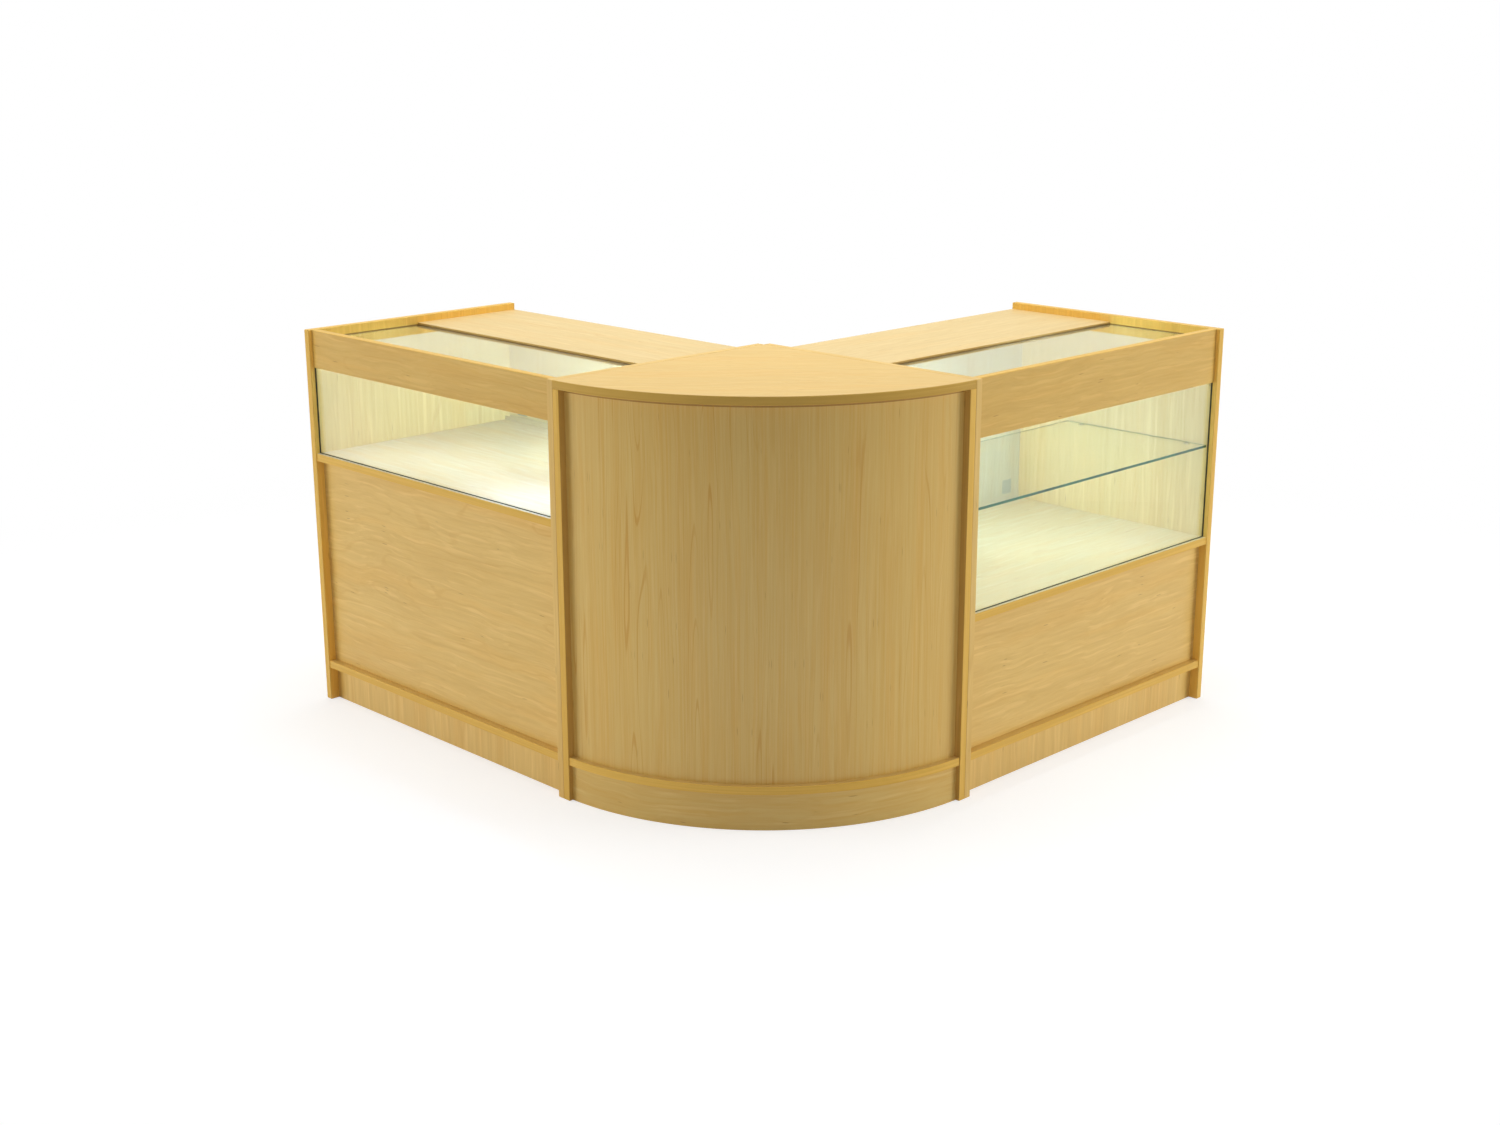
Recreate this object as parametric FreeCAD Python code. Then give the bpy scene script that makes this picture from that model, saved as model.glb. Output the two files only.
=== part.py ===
import FreeCAD, Part
import os

# Overall sizes, in millimetres
counter_width = 900.0  # length of each straight counter
counter_depth = 600.0  # front edge to rear edge, and the radius of the corner unit
counter_height = 900.0  # floor to the tops of the end panels
board = 18.0  # thickness of the faced boards
arris = 1.0  # chamfer along the boards' exposed edges

# Setbacks from the front edges of the end panels
rail_setback = 2.0  # base board and display deck, at the front and at the rear
header_setback = 8.0
front_panel_setback = 19.0
plinth_setback = 22.0

# Levels and depths shared by the two straight counters
plinth_height = 80.0
top_drop = 16.0  # wood top below the tops of the end panels
wood_top_depth = 295.0

# Levels of each straight counter
left_header_height = 88.0
left_deck_level = 609.0
right_header_height = 125.0
right_deck_level = 405.0

# Glazing, seated in grooves
pane = 6.0
glass_lip = 4.0  # wood left in front of the front pane, in the header
glass_below_wood = 6.0  # wood edge that stands above the top pane
groove_depth = 6.0
groove_slack = 0.5

# Shelves and the studs that carry them
glass_shelf_level = 620.0
glass_shelf_front = 20.0
glass_shelf_depth = 400.0
storage_shelf_level = 335.0
storage_shelf_gap = 10.0  # behind the front panel
storage_shelf_depth = 450.0
shelf_end_gap = 1.0
stud_radius = 2.5
stud_depth = 9.0
spade_length = 14.0
spade_width = 10.0
spade_thickness = 3.0
stud_inset = 50.0  # from the shelf's front and rear edges

# Sliding doors and their double tracks
door_thickness = 12.0
door_overlap = 30.0
door_end_gap = 0.5
door_side_gap = 0.6
door_running_gap = 0.4
door_engagement = 9.0  # height of door inside the top track
track_wall = 1.6
track_floor = 2.0
bottom_track_lip = 8.0
top_track_lip = 20.0
track_setback = 8.0  # from the rear edge

# Flush finger pulls
pull_width = 30.0
pull_height = 70.0
pull_depth = 9.0
pull_wall = 1.0
pull_flange = 3.0
pull_corner = 4.0
pull_gap = 12.0  # between the lock and the pull's flange

# Square door locks with a turning barrel
lock_size = 36.0
lock_inset = 31.0  # case to the door's outer end
lock_lift = 4.0  # case above the bottom track
lock_wall = 2.0  # closed face towards the display
barrel_radius = 8.0
barrel_gap = 0.3
barrel_stand = 1.0
key_slot_width = 1.6
key_slot_length = 9.0
key_slot_depth = 6.0

# Light strip behind each header
light_width = 16.0
light_height = 8.0
light_wall = 1.2
light_lift = 10.0  # above the header's lower edge
light_end_gap = 3.0
diffuser_thickness = 1.5

# Bolts that join the three units
bolt_radius = 3.0
bolt_head_radius = 7.5  # to the corners of the hexagon
bolt_head = 4.0
bolt_inset = 140.0  # from the front and rear edges
bolt_rise = 115.0  # above the base board

# Quarter-round corner unit
corner_top_thickness = 18.0
corner_panel_setback = 16.0
corner_panel = 8.0
corner_plinth_setback = 10.0
corner_plinth = 8.0
corner_rib_width = 80.0

# Values that follow from the sizes above
inside_start = board
inside_end = counter_width - board
base_top = plinth_height + board
rear_edge = counter_depth - rail_setback
header_back = header_setback + board
wood_top_level = counter_height - top_drop
wood_top_under = wood_top_level - board
wood_top_front = counter_depth - wood_top_depth
pane_front = header_setback + glass_lip
top_pane_level = wood_top_level - glass_below_wood
channel = door_thickness + 2 * door_side_gap
channel_pitch = channel + track_wall
track_width = 2 * channel_pitch + track_wall
track_front = counter_depth - track_setback - track_width
top_track_edge = wood_top_under - track_floor - top_track_lip
door_length = (inside_end - inside_start + door_overlap) / 2 - door_end_gap
storage_shelf_front = front_panel_setback + board + storage_shelf_gap

along_x = FreeCAD.Vector(1, 0, 0)
along_y = FreeCAD.Vector(0, 1, 0)
along_z = FreeCAD.Vector(0, 0, 1)


def block(x0, x1, y0, y1, z0, z1):
    """Make a box between two limits along each axis."""
    return Part.makeBox(x1 - x0, y1 - y0, z1 - z0, FreeCAD.Vector(x0, y0, z0))


def rod(radius, start, direction, length):
    """Make a cylinder from a start point."""
    return Part.makeCylinder(radius, length, start, direction)


def eased(shape, direction=None):
    """Chamfer all edges of a shape, or only its straight edges along one direction."""
    edges = shape.Edges
    if direction:
        edges = [edge for edge in edges if abs(edge.tangentAt(edge.FirstParameter).dot(direction)) > 0.99]
    return shape.makeChamfer(arris, edges)


def rounded(shape, direction, radius):
    """Round the straight edges of a shape that run along one direction."""
    edges = [edge for edge in shape.Edges if abs(edge.tangentAt(edge.FirstParameter).dot(direction)) > 0.99]
    return shape.makeFillet(radius, edges)


def hexagon(radius, start, direction, length):
    """Make a hexagonal prism about a line along X from a start point."""
    first = start + along_z * radius
    turn = FreeCAD.Rotation(direction, 60)
    points = [first]
    for _ in range(6):
        points.append(start + turn.multVec(points[-1] - start))
    return Part.Face(Part.makePolygon(points)).extrude(direction * length)


def spanning_board(y0, y1, z0, z1):
    """Make a board that spans between the end panels, with eased long edges."""
    return eased(block(inside_start, inside_end, y0, y1, z0, z1), along_x)


def shelf_studs(level, front, rear):
    """Make four studs, each a flat spade under the shelf on a round shank, and their holes."""
    studs = []
    holes = []
    for x0, face, inward in ((inside_start, inside_start, along_x),
                             (inside_end - spade_length, inside_end, -along_x)):
        for y in (front + stud_inset, rear - stud_inset):
            hole = rod(stud_radius, FreeCAD.Vector(face, y, level - spade_thickness / 2), -inward, stud_depth)
            spade = block(x0, x0 + spade_length, y - spade_width / 2, y + spade_width / 2,
                          level - spade_thickness, level)
            studs.append(spade.fuse(hole))
            holes.append(hole)
    return studs, holes


def connector_bolts(face, outward):
    """Make bolts through an inner end panel and the corner's side panel, and their bare shanks."""
    bolts = []
    shanks = []
    for y in (bolt_inset, counter_depth - bolt_inset):
        start = FreeCAD.Vector(face, y, base_top + bolt_rise) - outward * board
        end = start + outward * 2 * board
        shank = rod(bolt_radius, start, outward, 2 * board)
        head = hexagon(bolt_head_radius, start, -outward, bolt_head)
        nut = hexagon(bolt_head_radius, end, outward, bolt_head)
        bolts.append(shank.fuse([head, nut]))
        shanks.append(shank)
    return bolts, shanks


def door_tracks(deck_level):
    """Make the double channels that the doors run in, on the deck and under the wood top."""
    track_rear = track_front + track_width
    lip_top = deck_level + track_floor + bottom_track_lip
    bottom = block(inside_start, inside_end, track_front, track_rear, deck_level, lip_top)
    top = block(inside_start, inside_end, track_front, track_rear, top_track_edge, wood_top_under)
    for index in range(2):
        y0 = track_front + track_wall + index * channel_pitch
        y1 = y0 + channel
        bottom = bottom.cut(block(inside_start, inside_end, y0, y1, deck_level + track_floor, lip_top))
        top = top.cut(block(inside_start, inside_end, y0, y1, top_track_edge, wood_top_under - track_floor))
    return bottom, top


def finger_pull(x, y, z):
    """Make a flanged tray sunk in the rear face of a door, and the pocket that it sits in."""
    half_width = pull_width / 2
    half_height = pull_height / 2
    pocket = block(x - half_width, x + half_width, y - pull_depth, y, z - half_height, z + half_height)
    flange = block(x - half_width - pull_flange, x + half_width + pull_flange, y, y + pull_wall,
                   z - half_height - pull_flange, z + half_height + pull_flange)
    hollow = block(x - half_width + pull_wall, x + half_width - pull_wall, y - pull_depth + pull_wall,
                   y + pull_wall, z - half_height + pull_wall, z + half_height - pull_wall)
    tray = pocket.fuse(rounded(flange, along_y, pull_corner))
    return tray.cut(rounded(hollow, along_y, pull_corner - pull_wall)), pocket


def sliding_door(deck_level, at_start):
    """Make one door with its finger pull, lock case and lock barrel."""
    y0 = track_front + track_wall + door_side_gap + (channel_pitch if at_start else 0)
    y1 = y0 + door_thickness
    z0 = deck_level + track_floor + door_running_gap
    z1 = top_track_edge + door_engagement
    x0 = inside_start + door_end_gap if at_start else inside_end - door_end_gap - door_length
    outer_end = x0 if at_start else x0 + door_length
    towards_middle = 1 if at_start else -1

    lock_x = outer_end + towards_middle * (lock_inset + lock_size / 2)
    lock_z0 = deck_level + track_floor + bottom_track_lip + lock_lift
    case = block(lock_x - lock_size / 2, lock_x + lock_size / 2, y0, y1, lock_z0, lock_z0 + lock_size)
    barrel_centre = FreeCAD.Vector(lock_x, y1, lock_z0 + lock_size / 2)
    bore_depth = door_thickness - lock_wall
    bore = rod(barrel_radius + barrel_gap, barrel_centre, -along_y, bore_depth)
    barrel = rod(barrel_radius, barrel_centre + along_y * barrel_stand, -along_y,
                 bore_depth - barrel_gap + barrel_stand)
    key_slot = block(lock_x - key_slot_width / 2, lock_x + key_slot_width / 2,
                     y1 + barrel_stand - key_slot_depth, y1 + barrel_stand,
                     barrel_centre.z - key_slot_length / 2, barrel_centre.z + key_slot_length / 2)

    pull_x = lock_x + towards_middle * (lock_size / 2 + pull_gap + pull_flange + pull_width / 2)
    pull, pull_pocket = finger_pull(pull_x, y1, (z0 + z1) / 2)

    door = eased(block(x0, x0 + door_length, y0, y1, z0, z1))
    return {
        "door": door.cut([case, pull_pocket]),
        "door_pull": pull,
        "door_lock": case.cut(bore),
        "lock_barrel": barrel.cut(key_slot),
    }


def light_strip(header_bottom):
    """Make the channel fixed behind the header, open at its underside, and its diffuser."""
    x0 = inside_start + light_end_gap
    x1 = inside_end - light_end_gap
    z0 = header_bottom + light_lift
    inner_front = header_back + light_wall
    inner_rear = header_back + light_width - light_wall
    body = block(x0, x1, header_back, header_back + light_width, z0, z0 + light_height)
    body = body.cut(block(x0, x1, inner_front, inner_rear, z0, z0 + light_height - light_wall))
    diffuser = block(x0, x1, inner_front, inner_rear, z0, z0 + diffuser_thickness)
    return body, diffuser


def straight_counter(header_height, deck_level, sides, panel_holes):
    """Build a straight counter with its length along X from 0 and its front edges at Y = 0."""
    header_bottom = counter_height - header_height
    slot_start = inside_start - groove_depth
    slot_end = inside_end + groove_depth
    front_slot = block(slot_start, slot_end, pane_front, pane_front + pane + groove_slack,
                       deck_level - groove_depth, header_bottom + groove_depth)
    top_slot = block(slot_start, slot_end, header_back - groove_depth, wood_top_front + groove_depth,
                     top_pane_level - pane, top_pane_level + groove_slack)
    pieces = {}

    for side, x0 in zip(sides, (0, inside_end)):
        panel = eased(block(x0, x0 + board, 0, counter_depth, 0, counter_height))
        pieces[side + "_end_panel"] = panel.cut([front_slot, top_slot] + panel_holes)

    pieces["base_board"] = spanning_board(rail_setback, rear_edge, plinth_height, base_top)
    pieces["front_plinth"] = spanning_board(plinth_setback, plinth_setback + board, 0, plinth_height)
    rear_plinth = counter_depth - plinth_setback
    pieces["rear_plinth"] = spanning_board(rear_plinth - board, rear_plinth, 0, plinth_height)
    pieces["front_panel"] = spanning_board(front_panel_setback, front_panel_setback + board,
                                           base_top, deck_level - board)
    deck = spanning_board(rail_setback, rear_edge, deck_level - board, deck_level)
    pieces["display_deck"] = deck.cut(front_slot)
    header = spanning_board(header_setback, header_back, header_bottom, counter_height)
    pieces["header"] = header.cut([front_slot, top_slot])
    wood_top = spanning_board(wood_top_front, counter_depth, wood_top_under, wood_top_level)
    pieces["wood_top"] = wood_top.cut(top_slot)

    glass_start = slot_start + groove_slack
    glass_end = slot_end - groove_slack
    pieces["front_glass"] = block(glass_start, glass_end, pane_front, pane_front + pane,
                                  deck_level - groove_depth, header_bottom + groove_depth - groove_slack)
    pieces["top_glass"] = block(glass_start, glass_end, header_back - groove_depth + groove_slack,
                                wood_top_front + groove_depth - groove_slack,
                                top_pane_level - pane, top_pane_level)

    pieces["light_channel"], pieces["light_diffuser"] = light_strip(header_bottom)
    pieces["bottom_track"], pieces["top_track"] = door_tracks(deck_level)
    for side, at_start in zip(sides, (True, False)):
        for name, shape in sliding_door(deck_level, at_start).items():
            pieces[side + "_" + name] = shape
    return pieces


def left_counter():
    """Build the counter with the shallow display, its storage shelf and its joining bolts."""
    shelf_rear = storage_shelf_front + storage_shelf_depth
    studs, holes = shelf_studs(storage_shelf_level, storage_shelf_front, shelf_rear)
    bolts, shanks = connector_bolts(counter_width, along_x)
    pieces = straight_counter(left_header_height, left_deck_level, ("outer", "inner"), holes + shanks)
    pieces["storage_shelf"] = eased(block(inside_start + shelf_end_gap, inside_end - shelf_end_gap,
                                          storage_shelf_front, shelf_rear,
                                          storage_shelf_level, storage_shelf_level + board))
    pieces["storage_shelf_studs"] = Part.makeCompound(studs)
    pieces["connector_bolts"] = Part.makeCompound(bolts)
    return pieces, shanks


def right_counter():
    """Build the counter with the tall display, its glass shelf and its joining bolts."""
    shelf_rear = glass_shelf_front + glass_shelf_depth
    studs, holes = shelf_studs(glass_shelf_level, glass_shelf_front, shelf_rear)
    bolts, shanks = connector_bolts(0, -along_x)
    pieces = straight_counter(right_header_height, right_deck_level, ("inner", "outer"), holes + shanks)
    pieces["glass_shelf"] = eased(block(inside_start + shelf_end_gap, inside_end - shelf_end_gap,
                                        glass_shelf_front, shelf_rear,
                                        glass_shelf_level, glass_shelf_level + pane))
    pieces["glass_shelf_studs"] = Part.makeCompound(studs)
    pieces["connector_bolts"] = Part.makeCompound(bolts)
    return pieces, shanks


def sector(radius, inset, z0, z1):
    """Make a quarter disc about the inner corner, cut back from its two straight sides."""
    quadrant = block(-radius, -inset, -radius, -inset, z0, z1)
    return rod(radius, FreeCAD.Vector(0, 0, z0), along_z, z1 - z0).common(quadrant)


def curved_wall(outer_radius, thickness, z0, z1):
    """Make a quarter-round wall between the corner's side panels."""
    core = rod(outer_radius - thickness, FreeCAD.Vector(0, 0, z0), along_z, z1 - z0)
    return sector(outer_radius, board, z0, z1).cut(core)


def corner_unit():
    """Build the quarter-round unit with the inner corner of the counter at the origin."""
    top_under = counter_height - corner_top_thickness
    panel_radius = counter_depth - corner_panel_setback
    rib_radius = panel_radius - corner_panel
    rib_bottom = (base_top + top_under - board) / 2
    base = sector(counter_depth - rail_setback, board, plinth_height, base_top)
    rims = [edge for edge in base.Edges if edge.Curve.TypeId == "Part::GeomCircle"]
    return {
        "left_side": eased(block(-counter_depth, -board, -board, 0, 0, top_under)),
        "right_side": eased(block(-board, 0, -counter_depth, 0, 0, top_under)),
        "base_board": base.makeChamfer(arris, rims),
        "plinth": curved_wall(counter_depth - corner_plinth_setback, corner_plinth, 0, plinth_height),
        "front_panel": curved_wall(panel_radius, corner_panel, base_top, top_under),
        "rib": curved_wall(rib_radius, corner_rib_width, rib_bottom, rib_bottom + board),
        "top": eased(sector(counter_depth, 0, top_under, counter_height)),
    }


def placed(shape, placement):
    """Return a copy of a shape moved to its unit's place."""
    copy = shape.copy()
    copy.Placement = placement.multiply(shape.Placement)
    return copy


def save(name, shape):
    """Write one piece, as its solid or as a group of like solids."""
    solids = shape.Solids
    whole = solids[0] if len(solids) == 1 else Part.makeCompound(solids)
    whole.exportStep("parts/" + name + ".step")


def main():
    """Place the three units about the middle of their floor plan and write every piece."""
    os.makedirs("parts", exist_ok=True)
    inner = (counter_depth - counter_width) / 2
    corner_place = FreeCAD.Placement(FreeCAD.Vector(inner, inner, 0), FreeCAD.Rotation())
    right_place = FreeCAD.Placement(FreeCAD.Vector(inner, inner - counter_depth, 0), FreeCAD.Rotation())
    left_place = FreeCAD.Placement(FreeCAD.Vector(inner - counter_depth, inner + counter_width, 0),
                                   FreeCAD.Rotation(along_z, -90))

    left_pieces, left_shanks = left_counter()
    right_pieces, right_shanks = right_counter()
    for name, shape in left_pieces.items():
        save("left_" + name, placed(shape, left_place))
    for name, shape in right_pieces.items():
        save("right_" + name, placed(shape, right_place))

    corner_holes = {
        "left_side": [placed(shank, left_place) for shank in left_shanks],
        "right_side": [placed(shank, right_place) for shank in right_shanks],
    }
    for name, shape in corner_unit().items():
        piece = placed(shape, corner_place)
        if name in corner_holes:
            piece = piece.cut(corner_holes[name])
        save("corner_" + name, piece)


main()
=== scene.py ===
import math

import bmesh
import bpy
import numpy as np
from bpy.props import FloatProperty, FloatVectorProperty, IntProperty, PointerProperty
from mathutils import Matrix, Vector


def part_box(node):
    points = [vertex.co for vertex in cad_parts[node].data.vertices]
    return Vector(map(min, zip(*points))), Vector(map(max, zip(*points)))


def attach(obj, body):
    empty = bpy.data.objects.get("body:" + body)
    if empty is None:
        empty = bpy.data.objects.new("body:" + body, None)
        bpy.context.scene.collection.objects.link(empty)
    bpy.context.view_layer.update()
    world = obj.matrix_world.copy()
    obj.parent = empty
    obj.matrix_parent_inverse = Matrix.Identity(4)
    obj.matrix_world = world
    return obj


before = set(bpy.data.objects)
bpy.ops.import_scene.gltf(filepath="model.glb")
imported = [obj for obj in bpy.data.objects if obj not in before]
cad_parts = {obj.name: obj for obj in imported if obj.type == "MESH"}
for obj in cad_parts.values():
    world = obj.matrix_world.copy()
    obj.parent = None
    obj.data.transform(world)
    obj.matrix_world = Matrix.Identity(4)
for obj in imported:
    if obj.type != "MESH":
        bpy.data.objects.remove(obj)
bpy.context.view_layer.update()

bl_info = {
    "name": "Corner Shop Counter",
    "version": (1, 0, 0),
    "blender": (4, 5, 0),
    "location": "3D View > Sidebar > Counter",
    "description": "Finishes the boards, glazing and fittings of a corner shop counter and sets its studio",
    "category": "Object",
}

AXES = {"X": 0, "Y": 1, "Z": 2}
# The axis along each straight counter's length, and the one from its front to its rear
UNITS = {"left": ("Y", "X"), "right": ("X", "Y")}
# The start of the names of each door's pieces, and the door's counter
DOORS = {f"{unit}_{side}_": unit for unit in UNITS for side in ("outer", "inner")}
CORNER_LOW, CORNER_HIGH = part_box("corner_top")
CORNER_RADIUS = CORNER_HIGH.x - CORNER_LOW.x
LEVEL_RUN = 3.0  # streaks of level grain are this much shorter than those of upright grain
EDGE_BIAS = 0.3  # taken from the share of a broad face, so that eased edges go with the edges
BOX_SLACK = 0.001
MERGE_DISTANCE = 1e-7
SMOOTH_ANGLE = math.radians(40)
WHITE = (1.0, 1.0, 1.0, 1.0)


# Node trees


class Tree:
    """A node tree, with short ways to add nodes and join them."""

    def __init__(self, owner):
        owner.use_nodes = True
        self.owner = owner
        self.tree = owner.node_tree
        self.tree.nodes.clear()

    def node(self, kind, inputs=None, **settings):
        """Add a node, and set or join its inputs by name or number."""
        node = self.tree.nodes.new("ShaderNode" + kind)
        for name, value in settings.items():
            setattr(node, name, value)
        for key, value in (inputs or {}).items():
            if isinstance(value, bpy.types.NodeSocket):
                self.tree.links.new(value, node.inputs[key])
            else:
                node.inputs[key].default_value = value
        return node

    def maths(self, operation, first, second=0.0):
        """Combine two numbers."""
        return self.node("Math", {0: first, 1: second}, operation=operation).outputs[0]

    def times(self, first, second):
        """Multiply two numbers."""
        return self.maths("MULTIPLY", first, second)

    def vector(self, operation, first, second):
        """Combine two vectors."""
        return self.node("VectorMath", {0: first, 1: second}, operation=operation).outputs[0]

    def place(self):
        """Return the place on the object, in metres."""
        return self.node("TexCoord").outputs["Object"]

    def ramp(self, value, low, high, start=0.0, end=1.0):
        """Ease a number from start to end as it goes from low to high."""
        inputs = {"Value": value, "From Min": low, "From Max": high, "To Min": start, "To Max": end}
        return self.node("MapRange", inputs, interpolation_type="SMOOTHSTEP").outputs[0]

    def blend(self, share, first, second, way="MIX"):
        """Blend two colours."""
        inputs = {"Factor": share, 6: first, 7: second}
        return self.node("Mix", inputs, data_type="RGBA", blend_type=way).outputs[2]

    def noise(self, place, along, across, detail=2.0, roughness=0.5):
        """Read a noise whose grains are drawn out along the first axis; sizes are in grains per metre."""
        spread = self.vector("MULTIPLY", place, (along, across, across))
        inputs = {"Vector": spread, "Scale": 1.0, "Detail": detail, "Roughness": roughness}
        return self.node("TexNoise", inputs).outputs[0]

    def bump(self, height, strength, distance):
        """Return the normals of a relief."""
        inputs = {"Height": height, "Strength": strength, "Distance": distance}
        return self.node("Bump", inputs).outputs[0]

    def principled(self, inputs):
        """Finish the tree with a principled shader."""
        return self.finish(self.node("BsdfPrincipled", inputs).outputs[0])

    def finish(self, surface, kind="OutputMaterial"):
        """Join a shader to the output and return what the tree belongs to."""
        output = self.node(kind)
        self.tree.links.new(surface, output.inputs["Surface"])
        return self.owner


def new_material(name):
    """Start an empty material."""
    return Tree(bpy.data.materials.new(name))


def rgba(colour):
    """Give a colour its fourth number."""
    return (*colour, 1.0)


def grey(level):
    """Return a neutral colour."""
    return (level, level, level, 1.0)


def darker(colour, share):
    """Return a share of a colour."""
    return rgba(share * value for value in colour)


def tones_of(finish, kind):
    """Return the pale and the warm tone of a kind of facing or banding."""
    return getattr(finish, kind + "_pale"), getattr(finish, kind + "_warm")


# Places on the boards, with the grain along the first axis


def straight_place(tree, grain, shift=0.0):
    """Turn object coordinates so that the grain's axis, or a bearing in plan, comes first."""
    turns = {"X": (0, 0, 0), "Y": (0, 0, -math.pi / 2), "Z": (0, math.pi / 2, 0)}
    turn = turns[grain] if grain in turns else (0, 0, -grain)
    place = tree.place()
    inputs = {"Vector": place, "Location": (shift, 1.7 * shift, 0.6 * shift), "Rotation": turn}
    return tree.node("Mapping", inputs).outputs[0]


def round_place(tree, upright):
    """Unroll the corner: the angle about its inner corner times its radius, and the height."""
    place = tree.place()
    centre = (CORNER_HIGH.x, CORNER_HIGH.y, 0)
    out = tree.node("SeparateXYZ", {0: tree.vector("SUBTRACT", place, centre)}).outputs
    angle = tree.maths("ARCTAN2", tree.times(out[0], -1.0), tree.times(out[1], -1.0))
    arc = tree.times(angle, CORNER_RADIUS)
    along, across = (out[2], arc) if upright else (arc, out[2])
    return tree.node("CombineXYZ", {0: along, 1: across}).outputs[0]


def within(tree, low, high):
    """Return 1 inside a box and 0 outside it."""
    place = tree.place()
    away = tree.vector("ABSOLUTE", tree.vector("SUBTRACT", place, (low + high) / 2), (0, 0, 0))
    past = tree.node("SeparateXYZ", {0: tree.vector("SUBTRACT", away, (high - low) / 2)}).outputs
    most = tree.maths("MAXIMUM", tree.maths("MAXIMUM", past[0], past[1]), past[2])
    return tree.maths("LESS_THAN", most, 0.0)


# Materials

GRAIN_SWAY = 0.035  # width of the band in which the grain strays, in metres
RING_TURN = 60.0  # radians of the growth lines' wave over the whole range of their noise
TICK_CELLS = (14, 190, 190)  # cells per metre, along and across the grain
TICK_FREE = 0.93  # share of the cells that have no tick
STROKE_TINT = (1.08, 1.09, 1.2, 1.0)
PATCH_TINT = (1.02, 0.965, 0.86, 1.0)


def maple_face(name, finish, placed, figure=0.16, stroke=0.55, run=1.0, fine=1.0, tones=None, part=None):
    """Satin maple-effect facing.

    Broad bands and narrow streaks run with a grain that sways, warm patches, pale strokes and fine dark
    pores lie in it, and thin lines follow levels of a smooth noise as growth rings do. A few short dark
    ticks stand at scattered points. Figure is the strength of the lines and pores, stroke of the strokes. The
    larger the run, the shorter and wavier the streaks are, and the larger fine, the narrower. The part, if
    there is one, is a box and the tones that the facing has inside it.
    """
    tree = new_material(name)
    place = tree.vector("MULTIPLY", placed(tree), (1.0, fine, fine))
    sway = tree.maths("SUBTRACT", tree.noise(place, 1.6 * run, 7.0), 0.5)
    sway = tree.times(sway, GRAIN_SWAY)
    drift = tree.node("CombineXYZ", {1: sway, 2: sway})
    place = tree.vector("ADD", place, drift.outputs[0])

    bands = tree.noise(place, 0.4 * run, 13.0, detail=2.0)
    stripes = tree.noise(place, 0.9 * run, 42.0, detail=1.0)
    streaks = tree.noise(place, 2.0 * run, 130.0, detail=3.0, roughness=0.6)
    strokes = tree.ramp(tree.noise(place, 5.0, 115.0, detail=1.0), 0.55, 0.72)
    pores = tree.ramp(tree.noise(place, 7.0, 270.0, detail=2.0), 0.54, 0.72)
    patches = tree.ramp(tree.noise(place, 1.8, 24.0, detail=2.0), 0.48, 0.68)
    fibres = tree.noise(place, 18.0, 620.0, detail=2.0)
    rings = tree.noise(place, 0.8, 14.0, detail=0.0)
    lines = tree.ramp(tree.maths("SINE", tree.times(rings, RING_TURN)), 0.9, 1.0)
    lines = tree.times(lines, tree.ramp(tree.noise(place, 0.7, 6.0), 0.46, 0.6))
    spread = tree.vector("MULTIPLY", place, TICK_CELLS)
    cells = tree.node("TexVoronoi", {"Vector": spread, "Scale": 1.0})
    chosen = tree.node("SeparateColor", {0: cells.outputs["Color"]}).outputs[0]
    ticks = tree.ramp(cells.outputs["Distance"], 0.08, 0.2, 1.0, 0.0)
    ticks = tree.times(ticks, tree.maths("GREATER_THAN", chosen, TICK_FREE))

    tone = tree.maths("ADD", tree.times(bands, 0.2), tree.times(streaks, 0.5))
    tone = tree.maths("ADD", tone, tree.times(stripes, 0.3))
    pale, warm = (rgba(colour) for colour in tones or tones_of(finish, "maple"))
    # A part lays other tones in a box: painted light inside the displays, and a painted shade line under the
    # round top
    if part:
        box, (part_pale, part_warm) = part
        inside = within(tree, *box)
        pale = tree.blend(inside, pale, rgba(part_pale))
        warm = tree.blend(inside, warm, rgba(part_warm))
    bright = tree.blend(1.0, pale, STROKE_TINT, "MULTIPLY")
    line = rgba(finish.maple_line)
    colour = tree.blend(tree.ramp(tone, 0.27, 0.73), pale, warm)
    colour = tree.blend(tree.times(patches, 0.7), colour, PATCH_TINT, "MULTIPLY")
    colour = tree.blend(tree.times(strokes, stroke), colour, bright)
    colour = tree.blend(tree.times(pores, 0.06 + 0.18 * figure), colour, line)
    colour = tree.blend(tree.times(lines, figure), colour, line)
    colour = tree.blend(tree.ramp(fibres, 0.5, 0.75, 0.0, 0.12), colour, line)
    colour = tree.blend(tree.times(ticks, 0.6), colour, rgba(finish.maple_tick))

    grain = tree.maths("ADD", tree.times(streaks, 0.4), fibres)
    return tree.principled({
        "Base Color": colour,
        "Roughness": tree.ramp(fibres, 0.3, 0.7, 0.34, 0.44),
        "IOR": 1.5,
        "Normal": tree.bump(grain, 0.1, 0.0003),
    })


def maple_edge(name, finish, placed, tones=None):
    """Edge banding: a deeper tone than the facing, with fine straight streaks."""
    tree = new_material(name)
    place = placed(tree)
    streaks = tree.noise(place, 2.0, 190.0, detail=3.0, roughness=0.6)
    bands = tree.noise(place, 0.9, 30.0, detail=2.0)
    tone = tree.maths("ADD", tree.times(streaks, 0.6), tree.times(bands, 0.4))
    pale, warm = (rgba(colour) for colour in tones or tones_of(finish, "edge"))
    colour = tree.blend(tree.ramp(tone, 0.34, 0.66), pale, warm)
    return tree.principled({
        "Base Color": colour,
        "Roughness": tree.ramp(streaks, 0.3, 0.7, 0.34, 0.42),
        "Specular IOR Level": 0.25,
        "Normal": tree.bump(streaks, 0.1, 0.0002),
    })


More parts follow.
